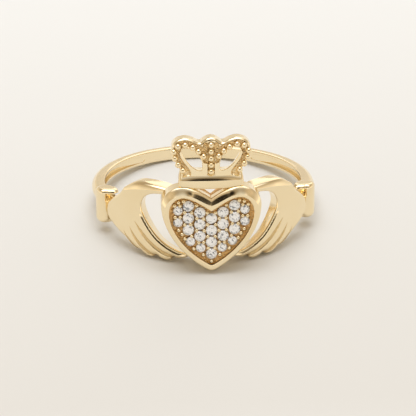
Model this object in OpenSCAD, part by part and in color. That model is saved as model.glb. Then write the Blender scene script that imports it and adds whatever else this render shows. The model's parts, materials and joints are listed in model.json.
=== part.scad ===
// Claddagh ring: a gold casting of two hands that hold a crowned heart, paved with round stones.
// The ring is drawn round the finger's axis, with the heart towards -Y and the crown towards +Z,
// and is then leaned back onto the heart's tip and the back of its shank, as it lies on a table.

/* [Finger] */
// Inner diameter of the ring
finger_d = 17.3; // [15:0.1:21]

/* [Shank] */
// Thickness of the shank, from the finger outwards
shank_t = 1.15; // [1:0.05:1.6]
// Width of the shank along the finger
shank_w = 1.1; // [1:0.05:1.6]
// Bevel of the two inner edges
shank_bevel = 0.1; // [0.05:0.01:0.15]
// Width of the hollow in the inner face on each side
channel_w = 0.6; // [0.4:0.05:0.7]
// Depth of that hollow
channel_depth = 0.35; // [0.2:0.05:0.5]
// Angle from the back of the ring to the start of the hollow
channel_start = 36; // [20:1:60]

/* [Cuffs] */
// Angle from the heart to each cuff
cuff_angle = 67.5; // [64:0.5:72]
// Diameter of the upright cuff bar
cuff_d = 1.6; // [1.4:0.05:2]
// Height of the cuff bar along the finger
cuff_h = 3.1; // [2.4:0.1:3.6]
// Rounding of its top and bottom edges
cuff_round = 0.45; // [0.2:0.05:0.6]
// How far the cuff's middle lies below the shank's middle
cuff_drop = 0.35; // [0:0.05:0.6]

/* [Hands] */
// Thickness of the hands, from the finger outwards
hand_t = 1.45; // [1.2:0.05:1.9]
// Reach of the fingertips below the shank's middle
hand_h = 3.5; // [3.3:0.05:3.7]
// Height of the thumb's ridge above the shank's middle
thumb_h = 3.1; // [3:0.05:3.3]
// Width of the bevel along the thumb's upper edge
thumb_bevel = 0.5; // [0.3:0.05:0.7]
// Radius of the round grooves between the fingers
groove_r = 0.16; // [0.08:0.01:0.2]

/* [Heart] */
// Distance from the finger to the front of the heart
head_t = 2.75; // [2.5:0.05:3.2]
// Width of the heart
heart_w = 8.4; // [8:0.1:9]
// Height of the lobes above the shank's middle
lobe_h = 3.56; // [3.4:0.02:3.7]
// Height of the notch between the lobes
notch_h = 2.6; // [2.4:0.05:2.8]
// Depth of the heart's tip below the shank's middle
tip_h = 3.85; // [3.75:0.05:4.2]
// Radius of the heart's tip
tip_r = 0.8; // [0.5:0.05:1]
// Depth of the rounded shoulder round the front face
shoulder_t = 0.42; // [0.3:0.02:0.5]
// Width of the shoulder over the lobes and in the notch
shoulder_top = 0.58; // [0.3:0.02:0.7]
// Width of the shoulder at the sides and tip
shoulder_side = 0.08; // [0.04:0.01:0.15]
// Width of the flat rim at the sides
rim_side = 0.56; // [0.4:0.02:0.64]
// Width of the flat rim over the lobes
rim_top = 0.24; // [0.16:0.02:0.4]
// Depth of the paved field below the rim
field_t = 0.35; // [0.25:0.05:0.5]
// Depth of the notch's wall, from front to back
notch_depth = 0.8; // [0.5:0.05:1]

/* [Stones] */
// Diameter of the large stones
stone_d = 0.95; // [0.85:0.01:0.98]
// Diameter of the small stones
small_d = 0.8; // [0.7:0.01:0.84]
// Distance between stones in one column
stone_pitch = 1.05; // [1.03:0.01:1.1]
// Distance between columns
column_pitch = 0.97; // [0.94:0.01:1]
// Height of the first stone in the middle column
stone_top = 0.8; // [0.7:0.02:0.9]
// Clearance between a stone and its seat
seat_gap = 0.02; // [0.01:0.005:0.03]
// Diameter of the prong beads between the stones
prong_d = 0.24; // [0.16:0.01:0.25]

/* [Crown] */
// Width of the crown's bar
bar_w = 5.45; // [5:0.05:6]
// Height of the crown's bar
bar_h = 1.3; // [1:0.05:1.4]
// Thickness of the crown's bar, from front to back
bar_t = 1.35; // [1.2:0.05:1.6]
// Rounding of the bar's upper front edge
bar_round = 0.5; // [0.3:0.05:0.6]
// How far the bar's front lies behind the heart's
bar_back = 0.35; // [0.2:0.05:0.5]
// Height of the whole crown, from the bar's bottom to its middle dome
crown_h = 4.35; // [4.1:0.05:4.7]
// Width across the two loops
loop_w = 6.6; // [6.4:0.05:6.9]
// Thickness of the loops, from front to back
loop_t = 1.1; // [0.9:0.05:1.3]
// How far the loops' front lies behind the bar's
loop_back = 0.2; // [0.1:0.05:0.4]
// Diameter of the beads on the crown
bead_d = 0.44; // [0.38:0.01:0.46]

/* [Hidden] */
STONES = 24;
gold = "#e8cf9c";
cut_stone = "#f2f4f6";
$fn = 48;

finger_r = finger_d / 2;
shank_arc_r = finger_r + shank_t - shank_w / 2;
hand_r = finger_r + hand_t;
front = finger_r + head_t;
field = front - field_t;
bar_front = front - bar_back;
bar_bottom = lobe_h - 0.1;
bar_top = bar_bottom + bar_h;
loop_front = bar_front - loop_back;
// The heart's walls run straight back to here and then draw in towards the finger
wall_back = finger_r + 0.95;
wall_draft = 0.25;
lobe_draft = 1.2;
tip_draft = 0.65;
// Every outer form starts inside the bore, which is cut last
core_r = finger_r - 0.6;
full_turn = 360;
// Angles from the heart at which the hands start inside it, and the shank ends inside the wrists
hand_from = 4;
shank_from = cuff_angle - 17.5;

// The tilt that lets the heart's tip and the back of the shank touch one level floor
lean_run = wall_back + shank_arc_r;
lean = acos(shank_w / 2 / norm([tip_h, lean_run])) - atan2(lean_run, tip_h);

// The stones by column, counted outwards from the middle one, which is column 0:
// [column, rise of its first stone in pitches, large stones, small stones, last stone's pull inwards]
columns = [
    [0, 0, 4, 0, 0],
    [1, 0.52, 3, 1, 0.06],
    [2, 1.08, 3, 1, 0.18],
    [2.9, 0.72, 0, 2, 0]];

// Edges of a hand: [angle from the heart, height as a share of hand_h]
fingers_edge = [
    [57.2, 0], [56.7, -0.13], [54.8, -0.29], [51.6, -0.37], [48.3, -0.52], [44.7, -0.67], [41.8, -0.78],
    [38.9, -0.84], [35.3, -0.9], [32.7, -0.96], [30.2, -0.97], [28, -0.93], [25.7, -0.96], [22.7, -1],
    [19.6, -0.98], [18, -0.94], [15.4, -0.96], [11.5, -0.9], [8, -0.7]];
// [angle from the heart, height as a share of thumb_h]
thumb_edge = [
    [14, 0.7], [18, 0.84], [21.5, 0.91], [26, 0.975], [31, 1], [35, 1], [39.2, 0.96], [42.1, 0.88],
    [44.6, 0.79], [47, 0.67], [48.9, 0.55], [52.7, 0.27], [56.5, 0.13]];
// Edge of the opening: [angle from the heart, height as a share of thumb_h, or of hand_h where it is below zero]
crescent_edge = [
    [14, 0.6], [18.5, 0.68], [23, 0.74], [27.7, 0.77], [31.2, 0.71], [33.8, 0.59], [35.5, 0.41], [36, 0.2],
    [34.2, -0.027], [30.8, -0.204], [28, -0.354], [25, -0.487], [22.7, -0.585], [15.4, -0.762], [10, -0.824]];
// Grooves between the fingers: [angle from the heart, height as a share of hand_h]
grooves = [
    [[46.9, -0.36], [44.6, -0.52], [42.4, -0.64], [39.2, -0.8], [37.2, -0.89]],
    [[43.5, -0.21], [41.1, -0.38], [37.7, -0.56], [34.4, -0.72], [31.6, -0.81], [28.1, -0.92], [26.4, -0.98]],
    [[40.3, -0.02], [37.6, -0.2], [34.3, -0.37], [31.1, -0.52], [27, -0.69], [22.7, -0.83], [17.6, -0.96]]];

// Outline of the crown's right half: [share of half loop_w, share of crown_h]
loop_edge = [
    [0.76, 0.24], [0.8, 0.38], [0.915, 0.537], [0.975, 0.652], [1, 0.768], [0.965, 0.884], [0.835, 0.964],
    [0.65, 0.993], [0.47, 0.96], [0.3, 0.9], [0.21, 0.935], [0.11, 0.982], [0, 1]];
// Opening in the right loop
opening_edge = [
    [0.235, 0.365], [0.225, 0.49], [0.26, 0.58], [0.33, 0.667], [0.42, 0.754], [0.52, 0.808], [0.68, 0.823],
    [0.765, 0.783], [0.735, 0.68], [0.65, 0.58], [0.54, 0.475], [0.43, 0.4], [0.33, 0.36]];
// Beads on the right loop
loop_beads = [
    [0.72, 0.39], [0.835, 0.51], [0.92, 0.64], [0.945, 0.765], [0.835, 0.87], [0.655, 0.897], [0.465, 0.845],
    [0.32, 0.765], [0.19, 0.665]];
middle_beads = 5;

function stone_name(i) = str("stone_", i < 10 ? "0" : "", i);

// One cubic curve from a to d, with the handles b and c, without its first point
function curve(a, b, c, d, steps) = [for (i = [1:steps]) let (t = i / steps, s = 1 - t)
    s*s*s*a + 3*t*s*s*b + 3*t*t*s*c + t*t*t*d];

// A smooth line through all the given points
function through(p, steps) = [for (i = [0:len(p) - 2], j = [0:steps - (i < len(p) - 2 ? 1 : 0)])
    let (t = j / steps, a = p[max(i - 1, 0)], b = p[i], c = p[i + 1], d = p[min(i + 2, len(p) - 1)])
    b + t*(c - a)/2 + t*t*(2*a - 5*b + 4*c - d)/2 + t*t*t*(3*b - a - 3*c + d)/2];

function mirrored(p) = [for (i = [len(p) - 1:-1:0]) [-p[i].x, p[i].y]];

// The heart's outline, drawn in by its own amount at the lobes, notch, sides and tip;
// sag flattens the slopes between the lobes and the notch
function heart(top, notch, side, tip, sag = 0) = let (
    half = heart_w / 2 - side,
    ease = half / (heart_w / 2),
    lobe = [0.57 * heart_w / 2, lobe_h - top],
    hip = [half, lobe.y - 0.37 * half],
    low = -tip_h + tip,
    round = tip_r * max(0.4, 1 - tip),
    slope = 30,
    foot = [round * sin(slope), low + round * (1 - cos(slope))],
    dip = [0, notch_h - notch],
    right = concat(
        [dip],
        curve(dip, dip + [0.75 + 0.2 * sag, 0.5 - 0.16 * sag], lobe - [0.85 * ease + 0.15 * sag, 0], lobe, 7),
        curve(lobe, lobe + [0.55 * (half - lobe.x), 0], hip + [0, 0.55 * (lobe.y - hip.y)], hip, 6),
        curve(hip, hip - [0, 2.15 * ease], foot + 2.35 * ease * [cos(slope), sin(slope)], foot, 9),
        [for (a = [15, 0]) [round * sin(a), low + round * (1 - cos(a))]]))
    concat(right, [for (i = [len(right) - 2:-1:1]) [-right[i].x, right[i].y]]);

function wall_line() = heart(0, 0, 0, 0);
function crease_line() = heart(shoulder_top, shoulder_top, shoulder_side, shoulder_side, 1);
function field_line(more) = heart(shoulder_top + rim_top + more, shoulder_top + 2 * rim_top + more,
    shoulder_side + rim_side + more, shoulder_side + 0.85 * rim_side + more);

function at_depth(outline, y) = [for (p = outline) [p.x, -y, p.y]];
function mix(a, b, t) = [for (i = [0:len(a) - 1]) a[i] * (1 - t) + b[i] * t];

// Centres and diameters of all stones: [x, z, diameter]
stones = [for (c = columns, side = c[0] == 0 ? [1] : [-1, 1], i = [0:c[2] + c[3] - 1])
    let (last = i == c[2] + c[3] - 1 ? c[4] : 0)
    [side * (c[0] - last) * column_pitch, stone_top + (c[1] - i) * stone_pitch, i < c[2] ? stone_d : small_d]];

// Prong beads: two beside each meeting of stones in a column, and more along the rim where there is room
prong_side = 0.35 * column_pitch;
prong_room = 0.5 * prong_d + 0.02;
function clear_of_stones(p) = min([for (s = stones) norm(p - [s[0], s[1]]) - s[2] / 2]) > prong_room;
function crossings(p, line) = len([for (i = [0:len(line) - 1]) let (a = line[i], b = line[(i + 1) % len(line)])
    if ((a.y > p.y) != (b.y > p.y) && p.x < a.x + (p.y - a.y) / (b.y - a.y) * (b.x - a.x)) i]);
function in_field(p) = crossings(p, field_line(0.1)) % 2 == 1;
function spaced(list, i = 0, kept = []) = i == len(list) ? kept :
    spaced(list, i + 1, min(concat([9], [for (k = kept) norm(k - list[i])])) > 1.4 * prong_d
        ? concat(kept, [list[i]]) : kept);
prongs = spaced([for (p = concat(
    [for (c = columns, side = [-1, 1], beside = [-1, 1], i = [0:c[2] + c[3]])
        [side * c[0] * column_pitch + beside * prong_side, stone_top + (c[1] - i + 0.5) * stone_pitch]],
    field_line(0.22)))
    if (clear_of_stones(p) && in_field(p)) p]);

// A closed skin over rows of equally many points; its ends are flat, or curved and built up of strips
module skin(rows, curved = false) {
    n = len(rows[0]);
    m = len(rows);
    strips = [for (i = [0:floor(n / 2) - 1]) let (j = n - 1 - i)
        each concat(i + 1 < j ? [[i, i + 1, j]] : [], i + 2 < j ? [[i + 1, j - 1, j]] : [])];
    end = curved ? strips : [[for (j = [0:n - 1]) j]];
    polyhedron(
        points = [for (row = rows) each row],
        faces = concat(
            end,
            [for (i = [0:m - 2], j = [0:n - 1]) let (a = i*n + j, b = i*n + (j + 1) % n)
                each [[a, a + n, b], [b, a + n, b + n]]],
            [for (face = end) [for (j = [len(face) - 1:-1:0]) (m - 1)*n + face[j]]]));
}

// A flat outline, as seen from the front, made solid between two distances from the finger's axis
module from_front(near, far) {
    translate([0, -near, 0]) rotate([90, 0, 0]) linear_extrude(far - near) children();
}

// A section swept round the finger between two angles from the heart, on the right side
module swept(from, to) {
    rotate([0, 0, -90]) rotate_extrude(angle = to - from, start = from) children();
}

module both_sides() {
    children();
    mirror([1, 0, 0]) children();
}

module shank() {
    lip = finger_r - 0.05;
    inner = shank_w / 2 - shank_bevel - 0.05;
    swept(shank_from, full_turn - shank_from) {
        polygon([
            [core_r, -inner], [lip, -inner], [finger_r + shank_bevel, -shank_w / 2], [shank_arc_r, -shank_w / 2],
            [shank_arc_r, shank_w / 2], [finger_r + shank_bevel, shank_w / 2], [lip, inner], [core_r, inner]]);
        translate([shank_arc_r, 0]) circle(shank_w / 2);
    }
}

module channel() {
    start = full_turn / 2 - channel_start;
    depth = finger_r + channel_depth - core_r;
    swept(cuff_angle + 4, start) translate([core_r, -channel_w / 2]) square([depth, channel_w]);
    rotate([0, 0, start - 90]) translate([core_r, 0, 0]) rotate([0, 90, 0])
        cylinder(h = depth - 0.03, d = 1.02 * channel_w);
}

module cuff() {
    r = cuff_d / 2;
    rotate([0, 0, cuff_angle - 90]) translate([finger_r + r - 0.05, 0, -cuff_drop]) rotate_extrude() {
        translate([0, -cuff_h / 2]) square([r - cuff_round, cuff_h]);
        translate([0, cuff_round - cuff_h / 2]) square([r, cuff_h - 2 * cuff_round]);
        for (s = [-1, 1]) intersection() {
            translate([r - cuff_round, s * (cuff_h / 2 - cuff_round)]) circle(cuff_round);
            translate([0, -cuff_h / 2]) square([r, cuff_h]);
        }
    }
}

// A solid inside walls that point at the finger's axis, through a line of [angle, height] points on the
// hand's face; it may turn outwards and drop on its way in to the finger
module through_hand(line, turn, drop) {
    skin([for (t = [-0.2, 1.3]) [for (p = line) let (
        a = [hand_r * sin(p.x), -hand_r * cos(p.x), p.y],
        b = [finger_r * sin(p.x + turn), -finger_r * cos(p.x + turn), p.y - drop])
        a + (b - a) * t]], true);
}

function scaled(edge, height) = [for (p = edge) [p.x, p.y * height]];

// A band round the finger, cut to the hand's outline
module hand_blank() {
    intersection() {
        swept(hand_from, cuff_angle) polygon([
            [core_r, -hand_h - 0.2], [hand_r - 0.35, -hand_h - 0.2], [hand_r - 0.1, -hand_h + 0.25],
            [hand_r, -hand_h + 0.7], [hand_r, thumb_h - 0.9 * thumb_bevel],
            [hand_r - 0.4 * thumb_bevel, thumb_h - 0.5 * thumb_bevel], [hand_r - 1.2 * thumb_bevel, thumb_h],
            [core_r, thumb_h]]);
        through_hand(concat(through(scaled(fingers_edge, hand_h), 2), through(scaled(thumb_edge, thumb_h), 2)), 0, 0);
    }
}

// The opening between thumb and fingers, which looks outwards and down from the heart
module crescent() {
    line = [for (p = crescent_edge) [p.x, p.y * (p.y < 0 ? hand_h : thumb_h)]];
    through_hand(through(line, 2), 1.8, 0.18);
}

// A round groove that follows a line on the hand, and comes up to the surface where it starts
module groove(line) {
    path = through(line, 2);
    n = len(path);
    sides = 6;
    skin([for (i = [0:n - 1]) let (
        a = path[max(i - 1, 0)], b = path[min(i + 1, n - 1)], p = path[i],
        ahead = [(b.x - a.x) * PI / 180 * hand_r, (b.y - a.y) * hand_h],
        across = [-ahead.y, ahead.x] / norm(ahead),
        r = hand_r + groove_r * (i == 0 ? 0.8 : i == 1 ? 0.4 : 0.1))
        [for (j = [0:sides - 1]) let (
            u = groove_r * cos(360 * j / sides), v = groove_r * sin(360 * j / sides),
            angle = p.x + across.x * u / hand_r * 180 / PI)
            [(r + v) * sin(angle), -(r + v) * cos(angle), p.y * hand_h + across.y * u]]]);
}

module hand() {
    difference() {
        hand_blank();
        crescent();
        for (line = grooves) groove(line);
    }
}

module heart_body() {
    steps = 3;
    skin(concat(
        [for (i = [steps:-1:0]) at_depth(
            mix(wall_line(), crease_line(), 1 - cos(90 * i / steps)),
            front - shoulder_t + shoulder_t * sin(90 * i / steps))],
        [at_depth(wall_line(), wall_back),
            at_depth(heart(lobe_draft, lobe_draft, wall_draft, tip_draft), 0.8 * finger_r)]));
}

function girdle(d) = 0.03 * d;
function crown_of(d) = 0.15 * d;
function pavilion(d) = 0.42 * d;
stone_level = field + 0.03;

// Places a stone or its seat on the field, with its table towards the front
module on_field(s) {
    translate([s[0], -stone_level, s[1]]) rotate([90, 0, 0]) children();
}

module seat(d) {
    r = d / 2 + seat_gap;
    drop = 1.5 * seat_gap;
    rotate_extrude() polygon([
        [0, -girdle(d) / 2 - pavilion(d) - drop], [r, -girdle(d) / 2 - drop], [r, crown_of(d)], [0, crown_of(d)]]);
}

// Behind the notch the lobes part down to the finger, so that one sees through below the crown
module parting() {
    skin([for (row = [[front - shoulder_t - notch_depth, 0], [core_r, 1]])
        [[0, -row[0], notch_h - row[1]], [-1.9, -row[0], lobe_h + 0.6], [1.9, -row[0], lobe_h + 0.6]]]);
}

module paved_heart() {
    difference() {
        heart_body();
        parting();
        from_front(field, front + 1) polygon(field_line(0));
        for (s = stones) on_field(s) seat(s[2]);
    }
    for (p = prongs) translate([p.x, -field, p.y]) sphere(prong_d / 2);
}

// The bar's outline at one height, drawn in from the front, back and ends
function bar_row(z, ends, front_in, corner) = let (w = bar_w / 2 - ends, t = bar_t - front_in)
    [for (q = [[1, -1, 0], [1, 1, 90], [-1, 1, 180], [-1, -1, 270]], a = [0, 45, 90]) let (
        mid = [q.x * (w - corner), q.y < 0 ? -bar_front + front_in + corner : -bar_front + bar_t - corner],
        turn = q.z + a - 90)
        [mid.x + corner * cos(turn), mid.y + corner * sin(turn), z]];

module crown_bar() {
    corner = 0.25;
    steps = 4;
    skin(concat(
        [bar_row(bar_bottom, 0.08, 0.08, corner), bar_row(bar_bottom + 0.1, 0, 0, corner)],
        [for (i = [0:steps]) bar_row(bar_top - bar_round + bar_round * sin(90 * i / steps),
            0.25 * bar_round * (1 - cos(90 * i / steps)), bar_round * (1 - cos(90 * i / steps)), corner)]));
}

function on_crown(p) = [p.x * loop_w / 2, bar_bottom + p.y * crown_h];

module crown_loops() {
    half = through([for (p = loop_edge) on_crown(p)], 3);
    opening = through([for (p = concat(opening_edge, [opening_edge[0]])) on_crown(p)], 3);
    difference() {
        from_front(loop_front - loop_t, loop_front) polygon(concat(half, mirrored(half)));
        both_sides() from_front(loop_front - loop_t - 1, loop_front + 1) polygon(opening);
    }
}

module crown_beads() {
    module bead(p) {
        translate([p.x, -loop_front, p.y]) sphere(bead_d / 2);
    }
    both_sides() for (p = loop_beads) bead(on_crown(p));
    for (i = [0:middle_beads - 1]) bead(on_crown([0, 0.355 + 0.134 * i]));
}

module ring_casting() {
    color(gold) difference() {
        union() {
            shank();
            both_sides() {
                cuff();
                hand();
            }
            paved_heart();
            crown_bar();
            crown_loops();
            crown_beads();
        }
        cylinder(h = 20, r = finger_r, center = true, $fn = 96);
        both_sides() channel();
    }
}

// A round brilliant: table, 8 stars, 8 kites, 16 upper and 16 lower halves, 8 pavilion mains
module brilliant(d) {
    r = d / 2;
    g = girdle(d) / 2;
    table = [0.57 * r, g + crown_of(d)];
    crown_slope = crown_of(d) / (r - table.x);
    star_r = 0.8 * r;
    culet = -g - pavilion(d);
    lower_r = 0.24 * r;
    function ring(n, turn, radius, z) = [for (k = [0:n - 1]) [radius * cos(360*k/n + turn), radius * sin(360*k/n + turn), z]];
    points = concat(
        ring(8, 0, table.x, table.y),
        ring(8, 22.5, star_r, table.y - (star_r * cos(22.5) - table.x) * crown_slope),
        ring(16, 0, r, g),
        ring(16, 0, r, -g),
        ring(8, 22.5, lower_r, culet + lower_r * cos(22.5) * pavilion(d) / r),
        [[0, 0, culet]]);
    stars = 8;
    top = 16;
    bottom = 32;
    lower = 48;
    tip = 56;
    polyhedron(points, faces = concat(
        [[for (k = [7:-1:0]) k]],
        [for (k = [0:7]) let (n = (k + 1) % 8, b = (k + 7) % 8) each [
            [k, n, stars + k],
            [k, stars + k, top + 2*k], [k, top + 2*k, stars + b],
            [stars + k, top + 2*k + 1, top + 2*k], [stars + k, top + (2*k + 2) % 16, top + 2*k + 1],
            [lower + k, bottom + 2*k, bottom + 2*k + 1], [lower + k, bottom + 2*k + 1, bottom + (2*k + 2) % 16],
            [tip, bottom + 2*k, lower + k], [tip, lower + b, bottom + 2*k]]],
        [for (k = [0:15]) let (n = (k + 1) % 16) each [
            [top + k, top + n, bottom + n], [top + k, bottom + n, bottom + k]]]));
}

module stone(i) {
    s = stones[i - 1];
    color(cut_stone) on_field(s) brilliant(s[2]);
}

rotate([-lean, 0, 0]) {
    ring_casting();
    for (i = [1:STONES]) stone(i);
}
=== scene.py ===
import json
import math

import bpy
import numpy as np
from bpy.props import FloatProperty, FloatVectorProperty, PointerProperty
from mathutils import Matrix, Quaternion, Vector


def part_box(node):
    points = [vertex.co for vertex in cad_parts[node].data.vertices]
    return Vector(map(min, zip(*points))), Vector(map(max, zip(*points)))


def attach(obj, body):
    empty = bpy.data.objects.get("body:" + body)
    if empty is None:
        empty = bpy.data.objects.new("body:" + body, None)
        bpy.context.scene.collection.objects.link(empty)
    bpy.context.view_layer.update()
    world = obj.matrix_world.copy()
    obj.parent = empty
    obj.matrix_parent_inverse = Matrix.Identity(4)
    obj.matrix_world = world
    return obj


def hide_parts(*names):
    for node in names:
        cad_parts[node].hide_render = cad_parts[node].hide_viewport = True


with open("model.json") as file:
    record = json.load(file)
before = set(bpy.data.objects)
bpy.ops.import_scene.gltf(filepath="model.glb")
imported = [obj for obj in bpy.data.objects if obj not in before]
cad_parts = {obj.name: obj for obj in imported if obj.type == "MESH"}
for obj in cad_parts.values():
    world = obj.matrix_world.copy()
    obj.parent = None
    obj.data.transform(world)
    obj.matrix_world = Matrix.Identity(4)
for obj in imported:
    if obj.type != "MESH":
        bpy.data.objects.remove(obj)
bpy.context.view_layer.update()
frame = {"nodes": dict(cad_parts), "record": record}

bl_info = {
    "name": "Claddagh Ring",
    "version": (1, 0, 0),
    "blender": (4, 5, 0),
    "location": "3D View > Sidebar > Claddagh Ring",
    "description": "Models a gold claddagh ring with a paved heart round its packed CAD frame",
    "category": "Object",
}

# The ring leans back onto the heart's tip and the back of its shank: the finger's axis in the frame
LEAN_SIN, LEAN_COS = frame["record"]["mounts"][0]["axis"][1:3]
STONES = sorted(name for name in frame["nodes"] if name.startswith("stone_"))
MM = 0.001
BORE_GAP = 0.004  # millimetres by which a piece stays out of the finger hole
WELD = 2e-8  # metres within which the points of a piece's seams and poles are one
# Dark soft spots in the studio's tent: [angle round the ring from the front, height above the floor, its core
# and its fading edge, in degrees, and how dark]
DARK_SPOTS = [
    (0, 30, 8, 19, 1), (-27, 24, 9, 17, 1), (33, 23, 8, 15, 1), (0, 60, 12, 26, 0.45), (-68, 26, 8, 20, 0.25),
    (68, 26, 8, 20, 0.25), (-140, 20, 20, 65, 0.3), (140, 20, 20, 65, 0.3)]
# The tent's colour by height, from the floor's level up to overhead
TENT = [(0, "#f0e9de"), (0.3, "#e6dccd"), (0.5, "#c8baa5"), (0.74, "#ad9e88"), (0.9, "#ffffff"),
        (1, "#ffffff")]
# The photograph's width, and its scale at the finger's axis
PIXELS, PIXELS_PER_MM = 416, 11.31

# Lines on a hand: [angle from the heart in degrees, height as a share of thumb_h, or below 0 of hand_h]
HAND_EDGE = [
    (14, 0.8), (18, 0.88), (21.5, 0.935), (26, 0.98), (31, 1), (35, 1), (39.2, 0.975), (42.1, 0.915),
    (44.6, 0.825), (47, 0.7), (50.3, 0.5), (54.8, 0.33), (58.1, 0.17), (59.4, 0.06), (59.9, -0.04),
    (59.9, -0.13), (59.3, -0.23), (56.9, -0.345), (51.4, -0.5), (45.5, -0.65), (42.3, -0.775), (39.2, -0.855),
    (37.4, -0.865), (36.4, -0.87), (35.3, -0.905), (32.7, -0.97), (30.2, -0.985), (28.4, -0.95),
    (27.4, -0.93), (26.2, -0.965), (22.7, -1.02), (20.2, -1), (18.9, -0.94), (18, -0.93), (16.6, -0.95),
    (14.5, -0.94), (11.5, -0.9), (8, -0.7)]
THUMB_END = 14
CRESCENT_EDGE = [
    (14, 0.64), (18.7, 0.72), (23.5, 0.755), (27.6, 0.75), (31, 0.7), (33.5, 0.605), (34.9, 0.48),
    (35.5, 0.35), (34.9, 0.19), (32.9, -0.02), (29.5, -0.25), (25.5, -0.465), (21.6, -0.605), (16.4, -0.73),
    (10, -0.83)]
GROOVES = [
    [(46.5, -0.38), (45.5, -0.51), (43.3, -0.65), (40.2, -0.777), (37.1, -0.87)],
    [(42.9, -0.237), (40.8, -0.426), (37.8, -0.623), (34.2, -0.78), (30.1, -0.9), (27.5, -0.94)],
    [(39.9, -0.06), (37, -0.254), (32.7, -0.506), (28, -0.694), (24.1, -0.81), (20.6, -0.88), (18.9, -0.94)]]
# The crease between the first finger and the thin rim of the crescent, and the one below the thumb's rounding
RIM_CREASE = [
    (36.6, 0.25), (35.2, 0.05), (32, -0.2), (28, -0.44), (23.4, -0.62), (18.9, -0.745), (15.2, -0.815),
    (10, -0.88)]
RIM_BACK = [(10, -0.3), (25, 0.2), (33, 0.3)]
THUMB_CREASE = [
    (15, 0.77), (18, 0.82), (22, 0.845), (27.6, 0.85), (31, 0.84), (34.5, 0.82), (38.1, 0.785), (42, 0.73),
    (45.1, 0.665), (47.5, 0.64)]
# Where lines across the hand meet the crescent and the outer edge: [angle, mm, angle, mm]
HAND_STATIONS = [
    (14, 1.98, 14, 2.48), (20, 2.25, 20, 2.8), (25, 2.34, 25.5, 3), (28.5, 2.3, 30.5, 3.1),
    (31.5, 2.12, 36, 3.1), (33.6, 1.85, 41, 2.87), (34.8, 1.5, 45.5, 2.33), (35.4, 1.1, 49.5, 1.6),
    (35.3, 0.75, 55, 0.85), (34.8, 0.45, 59.5, 0.15), (34.1, 0.2, 57.5, -0.7), (33.2, 0, 53.5, -1.15),
    (32.1, -0.25, 50, -1.4), (30.8, -0.55, 46.5, -2), (29.5, -0.87, 43.2, -2.5), (28, -1.18, 39.5, -2.88),
    (26.5, -1.45, 36.3, -3.05), (22.7, -2, 30, -3.37), (19, -2.35, 25, -3.38), (15.4, -2.6, 20, -3.4),
    (12, -2.8, 15, -3.25), (10.5, -2.88, 10.5, -3.05)]

# Outline of the crown's right half, the opening in its loop and the beads on it:
# [share of half loop_w, share of crown_h]
LOOP_EDGE = [
    (0.76, 0.24), (0.8, 0.38), (0.915, 0.537), (0.975, 0.652), (1, 0.768), (0.965, 0.884), (0.835, 0.964),
    (0.65, 0.993), (0.47, 0.96), (0.3, 0.9), (0.21, 0.935), (0.11, 0.982), (0, 1)]
OPENING_EDGE = [
    (0.235, 0.365), (0.225, 0.49), (0.26, 0.58), (0.33, 0.667), (0.42, 0.754), (0.52, 0.795), (0.665, 0.805),
    (0.735, 0.765), (0.71, 0.675), (0.64, 0.58), (0.54, 0.475), (0.43, 0.4), (0.33, 0.36)]
# The point of the crown's edge across from each point of the opening
OPENING_PARTNER = [
    (0, 0.24), (0, 0.5), (0, 0.75), (0, 1), (0.21, 0.935), (0.42, 0.945), (0.68, 0.992), (0.965, 0.884),
    (0.985, 0.69), (0.915, 0.537), (0.8, 0.38), (0.76, 0.24), (0.4, 0.24)]
LOOP_BEADS = [
    (0.72, 0.39), (0.835, 0.51), (0.92, 0.64), (0.945, 0.765), (0.835, 0.87), (0.655, 0.897), (0.465, 0.845),
    (0.32, 0.765), (0.19, 0.665)]
POST_FOOT, POST_STEP, POST_BEADS = 0.325, 0.134, 5
# The line of the beads' ground beyond the beads, and its wider place under the dome
GROUND_START, GROUND_END = (0.66, 0.3), (0.1, 0.6)
WELL = [(0.13, 0.86), (0.17, 0.7)]

# Beads on the right half of the field, along its rim and as prongs between the stones: [mm, height in mm]
RIM_BEADS = [
    (0, -3.04), (0.71, -2.45), (1.51, -1.89), (2.26, -0.97), (2.49, -0.56), (2.77, -0.18), (3.06, 0.98),
    (3.1, 2), (2.76, 2.29), (2.34, 2.38)]
PRONG_BEADS = [
    (2.26, 1.39), (1.66, 1.35), (1.25, 1.97), (2.63, 1.98), (2.62, 0.98), (0.35, 1.3), (1.24, 0.83),
    (0.66, 0.78), (2.25, 0.3), (1.74, 0.3), (0.35, 0.25), (1.26, -0.24), (0.62, -0.27), (0.32, -0.8),
    (1.67, -0.75), (1.08, -1.34), (0.66, -1.33), (0.29, -1.84)]

# Stones by column: [column, rise of its first stone in pitches, large stones, small stones, how far its last
# stone is pulled in, in columns]
COLUMNS = [(0, 0, 4, 0, 0), (1, 0.52, 3, 1, 0.06), (2, 1.08, 3, 1, 0.18), (2.9, 0.72, 0, 2, 0)]

# The finishes of the metal. The punched ones and the painted shades of the notch and the field's wall are
# named with their two colours
GOLD = "polished_14k_gold"
# Satin floors of the grooves, painted darker as painted shade
SATIN_PAINTED_SHADE = "groove_painted_shade_gold"
# Punched ground between the stones, its deeper colour partly painted shade and bounced light of the sunken
# field
PUNCHED = "field_punched_painted_shade_gold"
PUNCHED_CROWN = "punched_crown_gold"
# Painted shade: a deeper orange on the notch's walls, for the shade and bounced light between them
NOTCH_PAINTED_SHADE = "notch_painted_shade_gold"
# Painted shade: the field's lower wall under the rim is painted near black for its dark reflection
WALL_PAINTED_SHADE = "wall_painted_shade_gold"
SHADES = {PUNCHED: ("gold_ground_and_shade", "gold_shade"), PUNCHED_CROWN: ("gold", "gold_open"),
          NOTCH_PAINTED_SHADE: ("gold_notch_painted_shade", "gold_notch_painted_shade"), WALL_PAINTED_SHADE: ("gold_wall_painted_shade", "gold_wall_painted_shade")}


def length(name, mm, text):
    return FloatProperty(name=name, description=text, default=mm * MM, unit="LENGTH", precision=5)


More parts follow.
